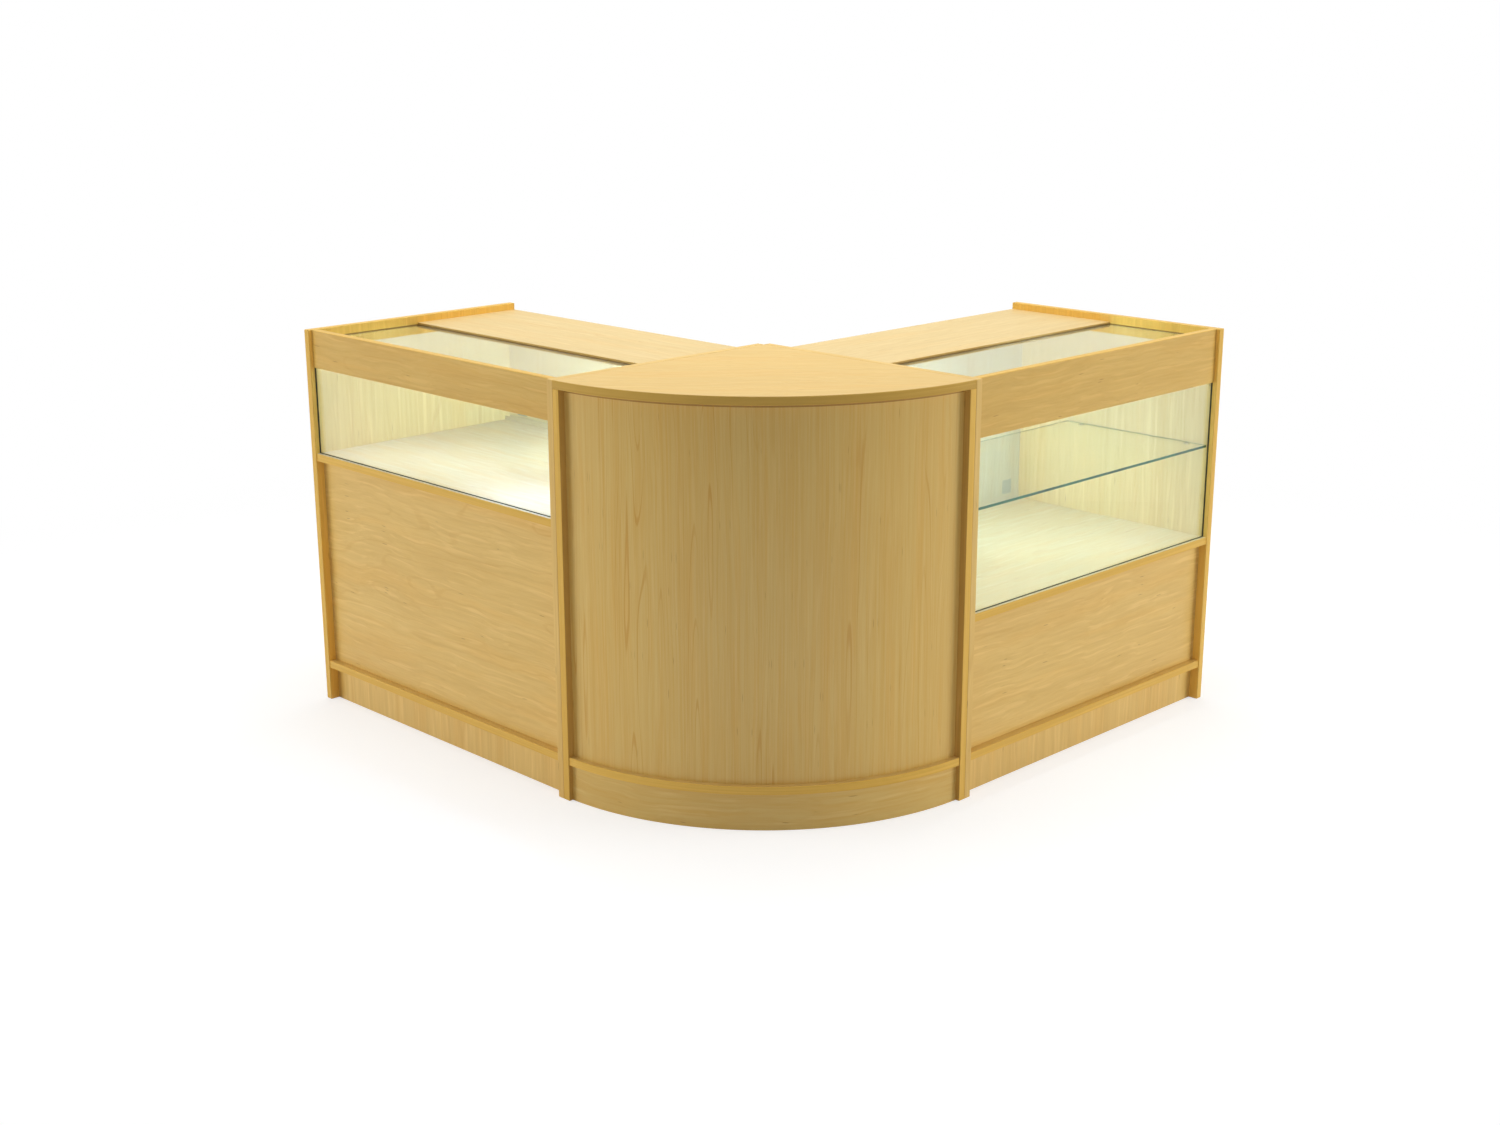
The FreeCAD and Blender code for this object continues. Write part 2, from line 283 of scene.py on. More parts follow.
def clear_glass(name, finish):
    """Float glass that lamps shine through, with the faint unevenness of wiped panes in its tint."""
    tree = new_material(name)
    place = tree.place()
    wiped = tree.ramp(tree.noise(place, 5.0, 5.0, detail=3.0), 0.35, 0.65)
    tint = tree.blend(wiped, rgba(finish.glass_tint), (0.985, 1.0, 0.995, 1.0))
    glass = tree.node("BsdfPrincipled", {
        "Base Color": tint,
        "Roughness": 0.01,
        "IOR": 1.5,
        "Transmission Weight": 1.0,
    })
    open_pane = tree.node("BsdfTransparent", {"Color": rgba(finish.glass_tint)})
    shadow = tree.node("LightPath").outputs["Is Shadow Ray"]
    mixed = tree.node("MixShader", {0: shadow, 1: glass.outputs[0], 2: open_pane.outputs[0]})
    return tree.finish(mixed.outputs[0])


def green_edge(name, finish):
    """The ground edge of a pane, where the glass is seen through its whole width."""
    tree = new_material(name)
    place = tree.place()
    cloud = tree.noise(place, 9.0, 9.0, detail=3.0)
    shade = darker(finish.glass_edge, 0.5)
    colour = tree.blend(tree.ramp(cloud, 0.35, 0.65), shade, rgba(finish.glass_edge))
    return tree.principled({
        "Base Color": colour,
        "Roughness": tree.ramp(cloud, 0.3, 0.7, 0.25, 0.4),
        "IOR": 1.12,
        "Specular Tint": (0.5, 1.0, 0.75, 1.0),
    })


def drawn_metal(name, colour, grain, roughness, density=900.0):
    """Metal with fine draw lines along one axis."""
    tree = new_material(name)
    place = straight_place(tree, grain)
    lines = tree.noise(place, 3.0, density, detail=2.0, roughness=0.7)
    cloud = tree.noise(place, 8.0, 40.0, detail=2.0)
    base = tree.blend(tree.ramp(lines, 0.3, 0.7), darker(colour, 0.8), rgba(colour))
    return tree.principled({
        "Base Color": base,
        "Metallic": 1.0,
        "Roughness": tree.ramp(cloud, 0.3, 0.7, roughness - 0.06, roughness + 0.06),
        "Normal": tree.bump(lines, 0.12, 0.0001),
    })


def plated_metal(name, colour, roughness):
    """Plated metal with the faint clouding of handling."""
    tree = new_material(name)
    place = tree.place()
    cloud = tree.noise(place, 140.0, 140.0, detail=3.0)
    base = tree.blend(tree.ramp(cloud, 0.35, 0.65), darker(colour, 0.8), rgba(colour))
    return tree.principled({
        "Base Color": base,
        "Metallic": 1.0,
        "Roughness": tree.ramp(cloud, 0.3, 0.7, roughness, roughness + 0.1),
    })


def opal_plastic(name, studio):
    """Milky cover over the lamps, glowing, with a faint pearly mottle."""
    tree = new_material(name)
    place = tree.place()
    mottle = tree.noise(place, 300.0, 300.0, detail=2.0)
    base = tree.blend(tree.ramp(mottle, 0.3, 0.7), (0.86, 0.87, 0.86, 1.0), (0.94, 0.95, 0.94, 1.0))
    return tree.principled({
        "Base Color": base,
        "Roughness": 0.35,
        "Emission Color": rgba(studio.right_strip_colour),
        "Emission Strength": studio.diffuser_glow,
    })


def moulded_plastic(name, colour, grain):
    """Moulded plastic with a fine spark-eroded texture."""
    tree = new_material(name)
    place = tree.place()
    spark = tree.noise(place, grain, grain, detail=2.0, roughness=0.6)
    base = tree.blend(tree.ramp(spark, 0.35, 0.65), darker(colour, 0.9), rgba(colour))
    return tree.principled({
        "Base Color": base,
        "Roughness": tree.ramp(spark, 0.3, 0.7, 0.4, 0.52),
        "Normal": tree.bump(spark, 0.2, 0.0001),
    })


# Dressing nodes and adding pieces


def dress(node, finishes, face_axis, side=None):
    """Give each face the finish for the axis that it points along.

    The share of a normal along the broad faces' axis counts for less, so eased edges go with the edges.
    A side is a way along that axis, 1 or -1, and the finish of the broad faces that look that way.
    """
    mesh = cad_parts[node].data
    normals = np.empty(3 * len(mesh.polygons), np.float32)
    mesh.polygons.foreach_get("normal", normals)
    normals = normals.reshape(-1, 3)
    broad = AXES[face_axis]
    shares = np.abs(normals)
    shares[:, broad] -= EDGE_BIAS
    index = shares.argmax(1)
    mesh.materials.clear()
    for axis in "XYZ":
        mesh.materials.append(finishes[axis])
    if side:
        way, finish = side
        mesh.materials.append(finish)
        index[(index == broad) & (way * normals[:, broad] > 0)] = 3
    mesh.polygons.foreach_set("material_index", index.astype(np.int32))


def paint(node, material):
    """Give a whole node one finish."""
    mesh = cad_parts[node].data
    mesh.materials.clear()
    mesh.materials.append(material)
    mesh.polygons.foreach_set("material_index", np.zeros(len(mesh.polygons), np.int32))


def turned_surface(profile, sides, centre, outward):
    """Turn a profile of (radius, height) points about an axis through the centre.

    Point (i, j) is centre + radius_i (cos t_j, sin t_j) across the axis + height_i along it,
    with t_j in even steps round the circle. Returns the points and the faces of the closed grid.
    """
    outward = np.asarray(outward, float)
    first = np.cross(outward, (0.3, 0.5, 0.8))
    first /= np.linalg.norm(first)
    second = np.cross(outward, first)
    radius, height = np.asarray(profile, float).T
    turn = np.linspace(0, 2 * math.pi, sides, endpoint=False)
    circle = np.cos(turn)[:, None] * first + np.sin(turn)[:, None] * second
    points = np.asarray(centre, float) + radius[:, None, None] * circle + height[:, None, None] * outward
    return closed_grid(points)


def closed_grid(points):
    """Return the points of a grid that closes on itself along its second index, and its faces."""
    index = np.arange(points[..., 0].size).reshape(points.shape[:2])
    beside = np.roll(index, -1, axis=1)
    faces = np.stack([index[:-1], beside[:-1], beside[1:], index[1:]], axis=-1).reshape(-1, 4)
    return points.reshape(-1, 3), faces


def add_piece(name, surfaces, material, body):
    """Join closed surfaces into one mesh that rides on a body, with seams merged and faces outwards."""
    points, faces, count = [], [], 0
    for surface_points, surface_faces in surfaces:
        points.append(surface_points)
        faces.append(surface_faces + count)
        count += len(surface_points)
    mesh = bpy.data.meshes.new(name)
    mesh.from_pydata(np.concatenate(points).tolist(), [], np.concatenate(faces).tolist())
    work = bmesh.new()
    work.from_mesh(mesh)
    bmesh.ops.remove_doubles(work, verts=work.verts, dist=MERGE_DISTANCE)
    bmesh.ops.recalc_face_normals(work, faces=work.faces)
    work.to_mesh(mesh)
    work.free()
    mesh.set_sharp_from_angle(angle=SMOOTH_ANGLE)
    mesh.polygons.foreach_set("use_smooth", np.ones(len(mesh.polygons), bool))
    mesh.materials.append(material)
    piece = bpy.data.objects.new(name, mesh)
    bpy.context.scene.collection.objects.link(piece)
    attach(piece, body)
    return piece


def lit_box(unit, front):
    """Return the box of a display: behind a front, over its deck and below its top pane. Facings in it take
    paler tones, painted light for the display's lamps.
    """
    along, across = (AXES[axis] for axis in UNITS[unit])
    low, high = (corner.copy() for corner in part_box(unit + "_display_deck"))
    low[across] = front
    low.z = high.z - BOX_SLACK
    high.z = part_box(unit + "_top_glass")[0].z
    low[along] -= BOX_SLACK
    high[along] += BOX_SLACK
    return low, high


def board_finishes(finish):
    """Make the maple materials once: edges and facings along each axis, darker copies that paint shade, and
    paler copies that paint light inside the displays.
    """
    made = {}
    # The header and recess facings are darker copies, painted shade
    kinds = {"face_": "maple", "top_": "top", "header_": "header", "recess_": "recess"}
    for axis in "XYZ":
        def placed(tree, axis=axis):
            return straight_place(tree, axis)
        run = 1.0 if axis == "Z" else LEVEL_RUN
        for kind, tone in kinds.items():
            made[kind + axis] = maple_face("maple_" + kind + axis, finish, placed, run=run,
                                           tones=tones_of(finish, tone))
        for unit, (_, across) in UNITS.items():
            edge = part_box(unit + "_display_deck")[0][AXES[across]]
            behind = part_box(unit + "_front_glass")[1][AXES[across]]
            # Painted light: in each display's lit box the decks, doors and end panels take paler tones, and
            # the end panels' inner faces outside it the brighter flank tones
            insides = (
                ("_inside_", edge, unit + "_inside", None),
                ("_end_", behind, "end", tones_of(finish, "flank")),
                ("_door_", edge, unit + "_door", None),
            )
            for kind, front, tone, rest in insides:
                part = lit_box(unit, front), tones_of(finish, tone)
                made[unit + kind + axis] = maple_face("maple_" + unit + kind + axis, finish, placed, run=run,
                                                      tones=rest, part=part)
        made["edge_" + axis] = maple_edge("maple_edge_" + axis, finish, placed)
    return made


MAPLE = {}


def maple(kind):
    """Return a shared maple material, made at its first use."""
    if not MAPLE:
        MAPLE.update(board_finishes(bpy.context.scene.counter_finish))
    return MAPLE[kind]


def dress_board(node, face_axis, grain, facing="face_", banding="edge_", side=None):
    """Give a flat board its facing, another on one side if asked for, and banding along each edge."""
    finishes = {}
    for axis in "XYZ":
        if axis == face_axis:
            finishes[axis] = maple(facing + grain)
        elif axis == grain:
            finishes[axis] = maple(banding + next(a for a in "XYZ" if a not in (axis, face_axis)))
        else:
            finishes[axis] = maple(banding + grain)
    if side:
        way, other = side
        side = way, maple(other + grain)
    dress(node, finishes, face_axis, side)


# Settings


def colour_setting(name, description, default):
    """Describe a colour."""
    return FloatVectorProperty(name=name, description=description, subtype="COLOR", default=default,
                               min=0, max=1)


def length_setting(name, description, default):
    """Describe a length in metres."""
    return FloatProperty(name=name, description=description, unit="LENGTH", default=default, min=0)


def angle_setting(name, description, degrees):
    """Describe an angle."""
    return FloatProperty(name=name, description=description, subtype="ANGLE", default=math.radians(degrees))


def power_setting(name, description, default):
    """Describe a lamp's power."""
    return FloatProperty(name=name, description=description, unit="POWER", default=default, min=0)


def level_setting(name, description, default):
    """Describe a brightness."""
    return FloatProperty(name=name, description=description, default=default, min=0)


# Where each kind of facing or banding is, and its pale and its warm tone
TONES = {
    "maple": ("the facing", (0.72, 0.488, 0.149), (0.61, 0.388, 0.1)),
    "top": ("the wood tops", (0.69, 0.52, 0.238), (0.612, 0.446, 0.186)),
    # Painted shade: the header tones are a darker copy of the facing, for the shade at the top of the fronts
    "header": ("the headers", (0.65, 0.422, 0.103), (0.552, 0.336, 0.068)),
    # Painted light: the deck, door, end and flank tones are paler or brighter copies of the facing, standing
    # in for the light in and beside the displays
    "left_inside": ("the left deck", (0.715, 0.65, 0.5), (0.69, 0.565, 0.355)),
    "right_inside": ("the right deck", (0.765, 0.69, 0.455), (0.735, 0.6, 0.315)),
    "left_door": ("the left doors in the display", (0.87, 0.79, 0.475), (0.8, 0.7, 0.405)),
    "right_door": ("the right doors in the display", (0.74, 0.745, 0.515), (0.68, 0.665, 0.44)),
    "end": ("the displays' ends", (0.79, 0.635, 0.3), (0.69, 0.52, 0.205)),
    "flank": ("the end panels outside the displays", (0.9, 0.56, 0.115), (0.8, 0.48, 0.09)),
    "bent": ("the bent panel", (0.65, 0.462, 0.146), (0.605, 0.365, 0.079)),
    "corner": ("the round top", (0.665, 0.45, 0.143), (0.61, 0.4, 0.12)),
    "rim": ("the round top's rim", (0.58, 0.36, 0.075), (0.5, 0.3, 0.055)),
    # Painted shade: the recess and shade tones are darker copies of the facing, for the shaded sides beside
    # the bent panel and the shaded line under the round top
    "recess": ("the sides beside the bent panel", (0.52, 0.3, 0.068), (0.45, 0.255, 0.054)),
    "shade": ("the line under the round top", (0.38, 0.2, 0.04), (0.32, 0.17, 0.03)),
    "edge": ("the edge banding", (0.74, 0.46, 0.092), (0.64, 0.38, 0.066)),
}


class CounterFinish(bpy.types.PropertyGroup):
    """Colours of the counter's finishes."""

    maple_line: colour_setting("Maple, line", "Growth lines and fibres", (0.5, 0.23, 0.015))
    maple_tick: colour_setting("Maple, tick", "Short dark marks in the facing", (0.26, 0.11, 0.012))
    glass_tint: colour_setting("Glass tint", "Colour seen through a pane", (0.955, 0.985, 0.97))
    glass_edge: colour_setting("Glass edge", "Colour of the panes' edges", (0.01, 0.13, 0.07))
    aluminium: colour_setting("Aluminium", "Light channels", (0.84, 0.84, 0.82))
    # Partly painted light: the tracks' tan plastic is lightened to the displays' paler tones, so the bottom
    # tracks show no shade there
    track: colour_setting("Track", "Moulded door tracks", (0.78, 0.7, 0.46))
    steel: colour_setting("Steel", "Finger pulls and studs", (0.58, 0.58, 0.57))
    nickel: colour_setting("Nickel", "Lock cases", (0.68, 0.69, 0.66))
    chrome: colour_setting("Chrome", "Lock barrels and their rings", (0.82, 0.82, 0.82))
    screw: colour_setting("Screw", "Screws of the locks", (0.62, 0.62, 0.6))
    zinc: colour_setting("Zinc", "Connector bolts", (0.56, 0.57, 0.58))
    end_cap: colour_setting("End cap", "End caps of the light strips", (0.55, 0.55, 0.54))
    lock_back: colour_setting("Lock back", "Plastic backs of the lock cases", (0.3, 0.4, 0.36))
    # Painted shade: these two colours are of dark beads laid along the panes' edges, standing in for the
    # shade lines there
    shade_bead: colour_setting("Seal", "Rubber along the foot and sides of the front panes", (0.026, 0.03, 0.014))
    top_line_shade: colour_setting("Sealant", "Brown sealant round the top panes", (0.25, 0.145, 0.022))
    cover: colour_setting("Cover", "Plastic covers of the board fittings", (0.62, 0.47, 0.25))


for kind, (where, pale, warm) in TONES.items():
    label = kind.replace("_", " ").capitalize()
    CounterFinish.__annotations__[kind + "_pale"] = colour_setting(
        label + ", pale", "Lighter bands of " + where, pale)
    CounterFinish.__annotations__[kind + "_warm"] = colour_setting(
        label + ", warm", "Darker bands of " + where, warm)


class CounterDetail(bpy.types.PropertyGroup):
    """Sizes of the small pieces."""

    # The next four sizes are of the dark beads along the panes, which are painted shade
    seal_depth: length_setting("Seal depth", "Depth of the seals on a pane", 0.0015)
    foot_seal: length_setting("Foot seal", "Rise of the seal along a pane's foot", 0.0019)
    side_seal: length_setting("Side seal", "Width of the seals along a pane's sides", 0.0032)
    top_seal: length_setting("Top seal", "Rise of the seals round a top pane", 0.002)
    shade_line: length_setting("Shade line", "Height of the dark line under the round top", 0.0065)
    cover_radius: length_setting("Cover radius", "Radius of a fitting's cover", 0.0095)
    cover_height: length_setting("Cover height", "Rise of a fitting's cover", 0.0014)
    cover_inset: length_setting("Cover inset", "Cover's centre to the end panel", 0.034)
    cover_edge: length_setting("Cover to edge", "Cover's centre to the board's long edges", 0.07)
    ring_width: length_setting("Ring width", "Width of the ring round a lock's barrel", 0.0026)
    ring_height: length_setting("Ring height", "Rise of the ring round a lock's barrel", 0.0008)
    screw_radius: length_setting("Screw radius", "Radius of a lock's screw heads", 0.0021)
    screw_inset: length_setting("Screw inset", "Screw's centre to the lock's edges", 0.0045)
    ring_gap: length_setting("Ring gap", "Gap between a lock's barrel and its ring", 0.0004)
    screw_height: length_setting("Screw height", "Rise of a lock's screw heads", 0.0006)
    cap_depth: length_setting("Cap depth", "Thickness of a light strip's end caps", 0.0016)
    sides: IntProperty(name="Sides", description="Steps round each turned piece", default=40, min=12)


# What each light in a display is, its power and its colour
DISPLAY_LIGHTS = {
    "left_strip": ("the light along the left header", 0.2, (0.43, 0.73, 1.0)),
    "right_strip": ("the light along the right header", 1.3, (0.72, 0.86, 0.96)),
    "left_rear": ("the light on the left display's far corner", 1.75, (0.6, 0.87, 1.0)),
    "right_rear": ("the light on the right display's far corner", 1.45, (0.7, 0.9, 1.0)),
    "left_deck": ("the even light on the left deck", 0.64, (0.64, 0.79, 1.0)),
    "right_deck": ("the even light on the right deck", 0.3, (0.95, 0.94, 0.86)),
    "left_glow": ("the bluish light in the left display", 0.5, (0.3, 0.5, 1.0)),
    "right_glow": ("the bluish light in the right display", 0.75, (0.3, 0.5, 1.0)),
}


class CounterStudio(bpy.types.PropertyGroup):
    """Camera and lights."""

    camera_place: FloatVectorProperty(name="Camera", description="Where the camera stands",
                                      subtype="TRANSLATION", default=(-3.2107, -3.1972, 1.6267))
    camera_turn: angle_setting("Turn", "Bearing of the view, from +Y", -44.71)
    camera_tilt: angle_setting("Tilt", "Fall of the view below level", 15.85)
    camera_roll: angle_setting("Roll", "Turn of the view about its own line", -0.108)
    lens: FloatProperty(name="Lens", description="Focal length on a 36 mm wide frame, in millimetres",
                        default=47.45, min=1)
    sky_level: level_setting("Sky level", "Even light from all round", 0.23)
    horizon_colour: colour_setting("Horizon", "Colour of the horizon in gloss", (0.85, 0.78, 0.55))
    zenith_level: level_setting("Zenith", "Brightness of the sky overhead in gloss", 1.6)
    left_power: power_setting("Left lamp", "Power of the lamp at the left of the view", 196.0)
    right_power: power_setting("Right lamp", "Power of the lamp at the right of the view", 226.0)
    bounce_power: power_setting("Bounce lamp", "Power of the low lamp before the counter", 5.0)
    top_power: power_setting("Top lamp", "Power of the lamp overhead", 95.0)
    rear_spread: angle_setting("Rear spread", "Angle of the lights on the far corners", 115)
    strip_tilt: angle_setting("Strip tilt", "Turn of the displays' lights towards the rear", 30)
    strip_spread: angle_setting("Strip spread", "Angle of the displays' lights", 118)
    diffuser_glow: level_setting("Diffuser glow", "Brightness of the lights' covers", 3.0)
    floor_tone: FloatProperty(name="Floor tone", description="Share of light that the floor throws back",
                              default=0.8, min=0, max=1)
    floor_lift: level_setting("Floor lift", "White added to the floor where it is seen", 0.62)
    floor_near: length_setting("Floor, near", "Reach of the floor that shows shadows", 1.3)
    floor_far: length_setting("Floor, far", "Where the floor has turned white", 3.0)


for kind, (light, power, colour) in DISPLAY_LIGHTS.items():
    label = kind.replace("_", " ").capitalize()
    CounterStudio.__annotations__[kind + "_power"] = power_setting(
        label + " power", "Power of " + light, power)
    CounterStudio.__annotations__[kind + "_colour"] = colour_setting(
        label + " colour", "Colour of " + light, colour)


# Operators


class COUNTER_OT_end_panels(bpy.types.Operator):
    """Face the upright end panels of the straight counters"""

    bl_idname = "counter.end_panels"
    bl_label = "End Panels"

    def execute(self, context):
        for unit, (along, _) in UNITS.items():
            low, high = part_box(unit + "_display_deck")
            for end, banding in (("outer", "edge_"), ("inner", "face_")):
                node = f"{unit}_{end}_end_panel"
                panel_low, panel_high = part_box(node)
                inwards = np.sign((low + high - panel_low - panel_high)[AXES[along]])
                # The inner faces take the paler end tones inside the display and the brighter flank tones
                # outside it, both painted light
                dress_board(node, along, "Z", banding=banding, side=(inwards, unit + "_end_"))
        return {"FINISHED"}


class COUNTER_OT_front_boards(bpy.types.Operator):
    """Face the headers and the panels below the displays, with level grain"""

    bl_idname = "counter.front_boards"
    bl_label = "Front Boards"

    def execute(self, context):
        for unit, (along, across) in UNITS.items():
            # The headers take the darker header tones: painted shade at the top of the fronts
            dress_board(unit + "_header", across, along, "header_")
            dress_board(unit + "_front_panel", across, along)
        return {"FINISHED"}


class COUNTER_OT_level_boards(bpy.types.Operator):
    """Face the decks, base boards, wood tops and storage shelf"""

    bl_idname = "counter.level_boards"
    bl_label = "Level Boards"

    def execute(self, context):
        for unit, (along, _) in UNITS.items():
            dress_board(unit + "_base_board", "Z", along)
            # The wood tops' edges and the decks take the paler inside tones within the display: painted light
            dress_board(unit + "_wood_top", "Z", along, "top_", banding=unit + "_inside_")
            dress_board(unit + "_display_deck", "Z", along, unit + "_inside_")
        dress_board("left_storage_shelf", "Z", UNITS["left"][0])
        return {"FINISHED"}


class COUNTER_OT_plinths(bpy.types.Operator):
    """Face the straight plinths, with upright grain"""

    bl_idname = "counter.plinths"
    bl_label = "Plinths"

    def execute(self, context):
        for unit, (_, across) in UNITS.items():
            dress_board(unit + "_front_plinth", across, "Z")
            dress_board(unit + "_rear_plinth", across, "Z")
        return {"FINISHED"}


class COUNTER_OT_round_corner(bpy.types.Operator):
    """Face the quarter-round unit: bent panel, plinth, rims and top"""

    bl_idname = "counter.round_corner"
    bl_label = "Round Corner"

    def execute(self, context):
        finish = context.scene.counter_finish
        # Painted shade: the top of the bent panel, under the round top's overhang, takes the darker shade
        # tones
        low, high = (corner.copy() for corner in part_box("corner_front_panel"))
        low.z = high.z - context.scene.counter_detail.shade_line
        shade = (low, high), tones_of(finish, "shade")
        bent = tones_of(finish, "bent")

        def upright(tree):
            return round_place(tree, True)

        def level(tree):
            return round_place(tree, False)

        def across_view(tree):
            return straight_place(tree, math.radians(-45))

        bent_face = maple_face("maple_bent_face", finish, upright, figure=0.5, stroke=0.3, fine=1.7,
                               tones=bent, part=shade)
        bent_plinth = maple_face("maple_bent_plinth", finish, level, run=LEVEL_RUN, tones=bent)
        rim = maple_edge("maple_rim", finish, level)
        top_rim = maple_edge("maple_top_rim", finish, level, tones=tones_of(finish, "rim"))
        top = maple_face("maple_corner_top", finish, across_view, run=LEVEL_RUN,
                         tones=tones_of(finish, "corner"))
        paint("corner_front_panel", bent_face)
        paint("corner_plinth", bent_plinth)
        dress("corner_top", {"X": top_rim, "Y": top_rim, "Z": top}, "Z")
        for node in ("corner_base_board", "corner_rib"):
            dress(node, {"X": rim, "Y": rim, "Z": top}, "Z")
        # The sides' faces towards the bent panel take the darker recess tones: painted shade
        dress_board("corner_left_side", "Y", "Z", side=(-1, "recess_"))
        dress_board("corner_right_side", "X", "Z", side=(-1, "recess_"))
        return {"FINISHED"}


class COUNTER_OT_sliding_doors(bpy.types.Operator):
    """Face the sliding doors, with upright grain"""

    bl_idname = "counter.sliding_doors"
    bl_label = "Sliding Doors"

    def execute(self, context):
        for door, unit in DOORS.items():
            # The doors' faces towards the display take the paler door tones within it: painted light
            dress_board(door + "door", UNITS[unit][1], "Z", side=(-1, unit + "_door_"))
        return {"FINISHED"}


class COUNTER_OT_glazing(bpy.types.Operator):
    """Make the panes and the glass shelf clear, with green edges"""

    bl_idname = "counter.glazing"
    bl_label = "Glazing"

    def execute(self, context):
        finish = context.scene.counter_finish
        glass = clear_glass("clear_float_glass", finish)
        edge = green_edge("green_glass_edge", finish)
        panes = {"right_glass_shelf": "Z"}
        for unit, (_, across) in UNITS.items():
            panes[unit + "_front_glass"] = across
            panes[unit + "_top_glass"] = "Z"
        for node, face_axis in panes.items():
            dress(node, {axis: glass if axis == face_axis else edge for axis in "XYZ"}, face_axis)
        # Painted shade: dark beads along the front panes and brown beads along the top panes, standing in for
        # the shade lines at their edges
        front_dark = moulded_plastic("seal_rubber", finish.shade_bead, 1500.0)
        brown = moulded_plastic("brown_sealant", finish.top_line_shade, 1500.0)
        for unit, (along, across) in UNITS.items():
            self.add_shade_beads(unit, AXES[along], AXES[across], context.scene.counter_detail, front_dark, brown)
        return {"FINISHED"}

    def add_shade_beads(self, unit, along, across, detail, front_material, top_material):
        """Lay dark beads on a front pane and brown beads on a top pane, outside, along the wood: painted
        shade that stands in for the shade lines along the panes' edges.
        """
        low, high = (np.array(corner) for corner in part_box(unit + "_display_deck"))
        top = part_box(unit + "_header")[0].z
        first, second, up = np.eye(3)[[along, across, 2]]
        foot = np.array(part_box(unit + "_front_glass")[0])
        foot[[along, 2]] = low[along], high[2]
        length = (high[along] - low[along]) * first
        height = (top - high[2]) * up
        outwards, inset = -detail.seal_depth * second, detail.side_seal * first
        surfaces = [
            self.bead(foot, length, outwards, detail.foot_seal * up),
            self.bead(foot, height, outwards, inset),
            self.bead(foot + length, height, outwards, -inset),
        ]
        add_piece(unit + "_front_seal", surfaces, front_material, "counter")

        near = np.array(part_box(unit + "_top_glass")[1])
        near[[along, across]] = low[along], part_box(unit + "_header")[1][across]
        depth = (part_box(unit + "_wood_top")[0][across] - near[across]) * second
        lap, rise = detail.seal_depth, detail.top_seal * up
        surfaces = [
            self.bead(near + depth, length, -lap * second, rise),
            self.bead(near, depth, lap * first, rise),
            self.bead(near + length, depth, -lap * first, rise),
        ]
        add_piece(unit + "_top_seal", surfaces, top_material, "counter")

    def bead(self, start, run, outwards, inwards):
        """Make a bead with a quarter-round section along a straight run.

        Point (i, j) is start + run_i + share_i (sin t_j outwards + cos t_j inwards), with t_j over a
        quarter turn and the section's inner corner added; the share closes both ends to a point.
        """
        turn = np.linspace(0, math.pi / 2, 7)
        section = np.sin(turn)[:, None] * outwards + np.cos(turn)[:, None] * inwards
        section = np.concatenate([np.zeros((1, 3)), section])
        share = np.array([0.0, 1.0, 1.0, 0.0])
        steps = np.array([0.0, 0.0, 1.0, 1.0])
        return closed_grid(start + steps[:, None, None] * run + share[:, None, None] * section)


class COUNTER_OT_door_tracks(bpy.types.Operator):
    """Finish the moulded door tracks"""

    bl_idname = "counter.door_tracks"
    bl_label = "Door Tracks"

    def execute(self, context):
        # The tracks' colour is partly painted light, lightened to match the displays' paler tones
        plastic = moulded_plastic("track_plastic", context.scene.counter_finish.track, 700.0)
        for unit in UNITS:
            paint(unit + "_bottom_track", plastic)
            paint(unit + "_top_track", plastic)
        return {"FINISHED"}


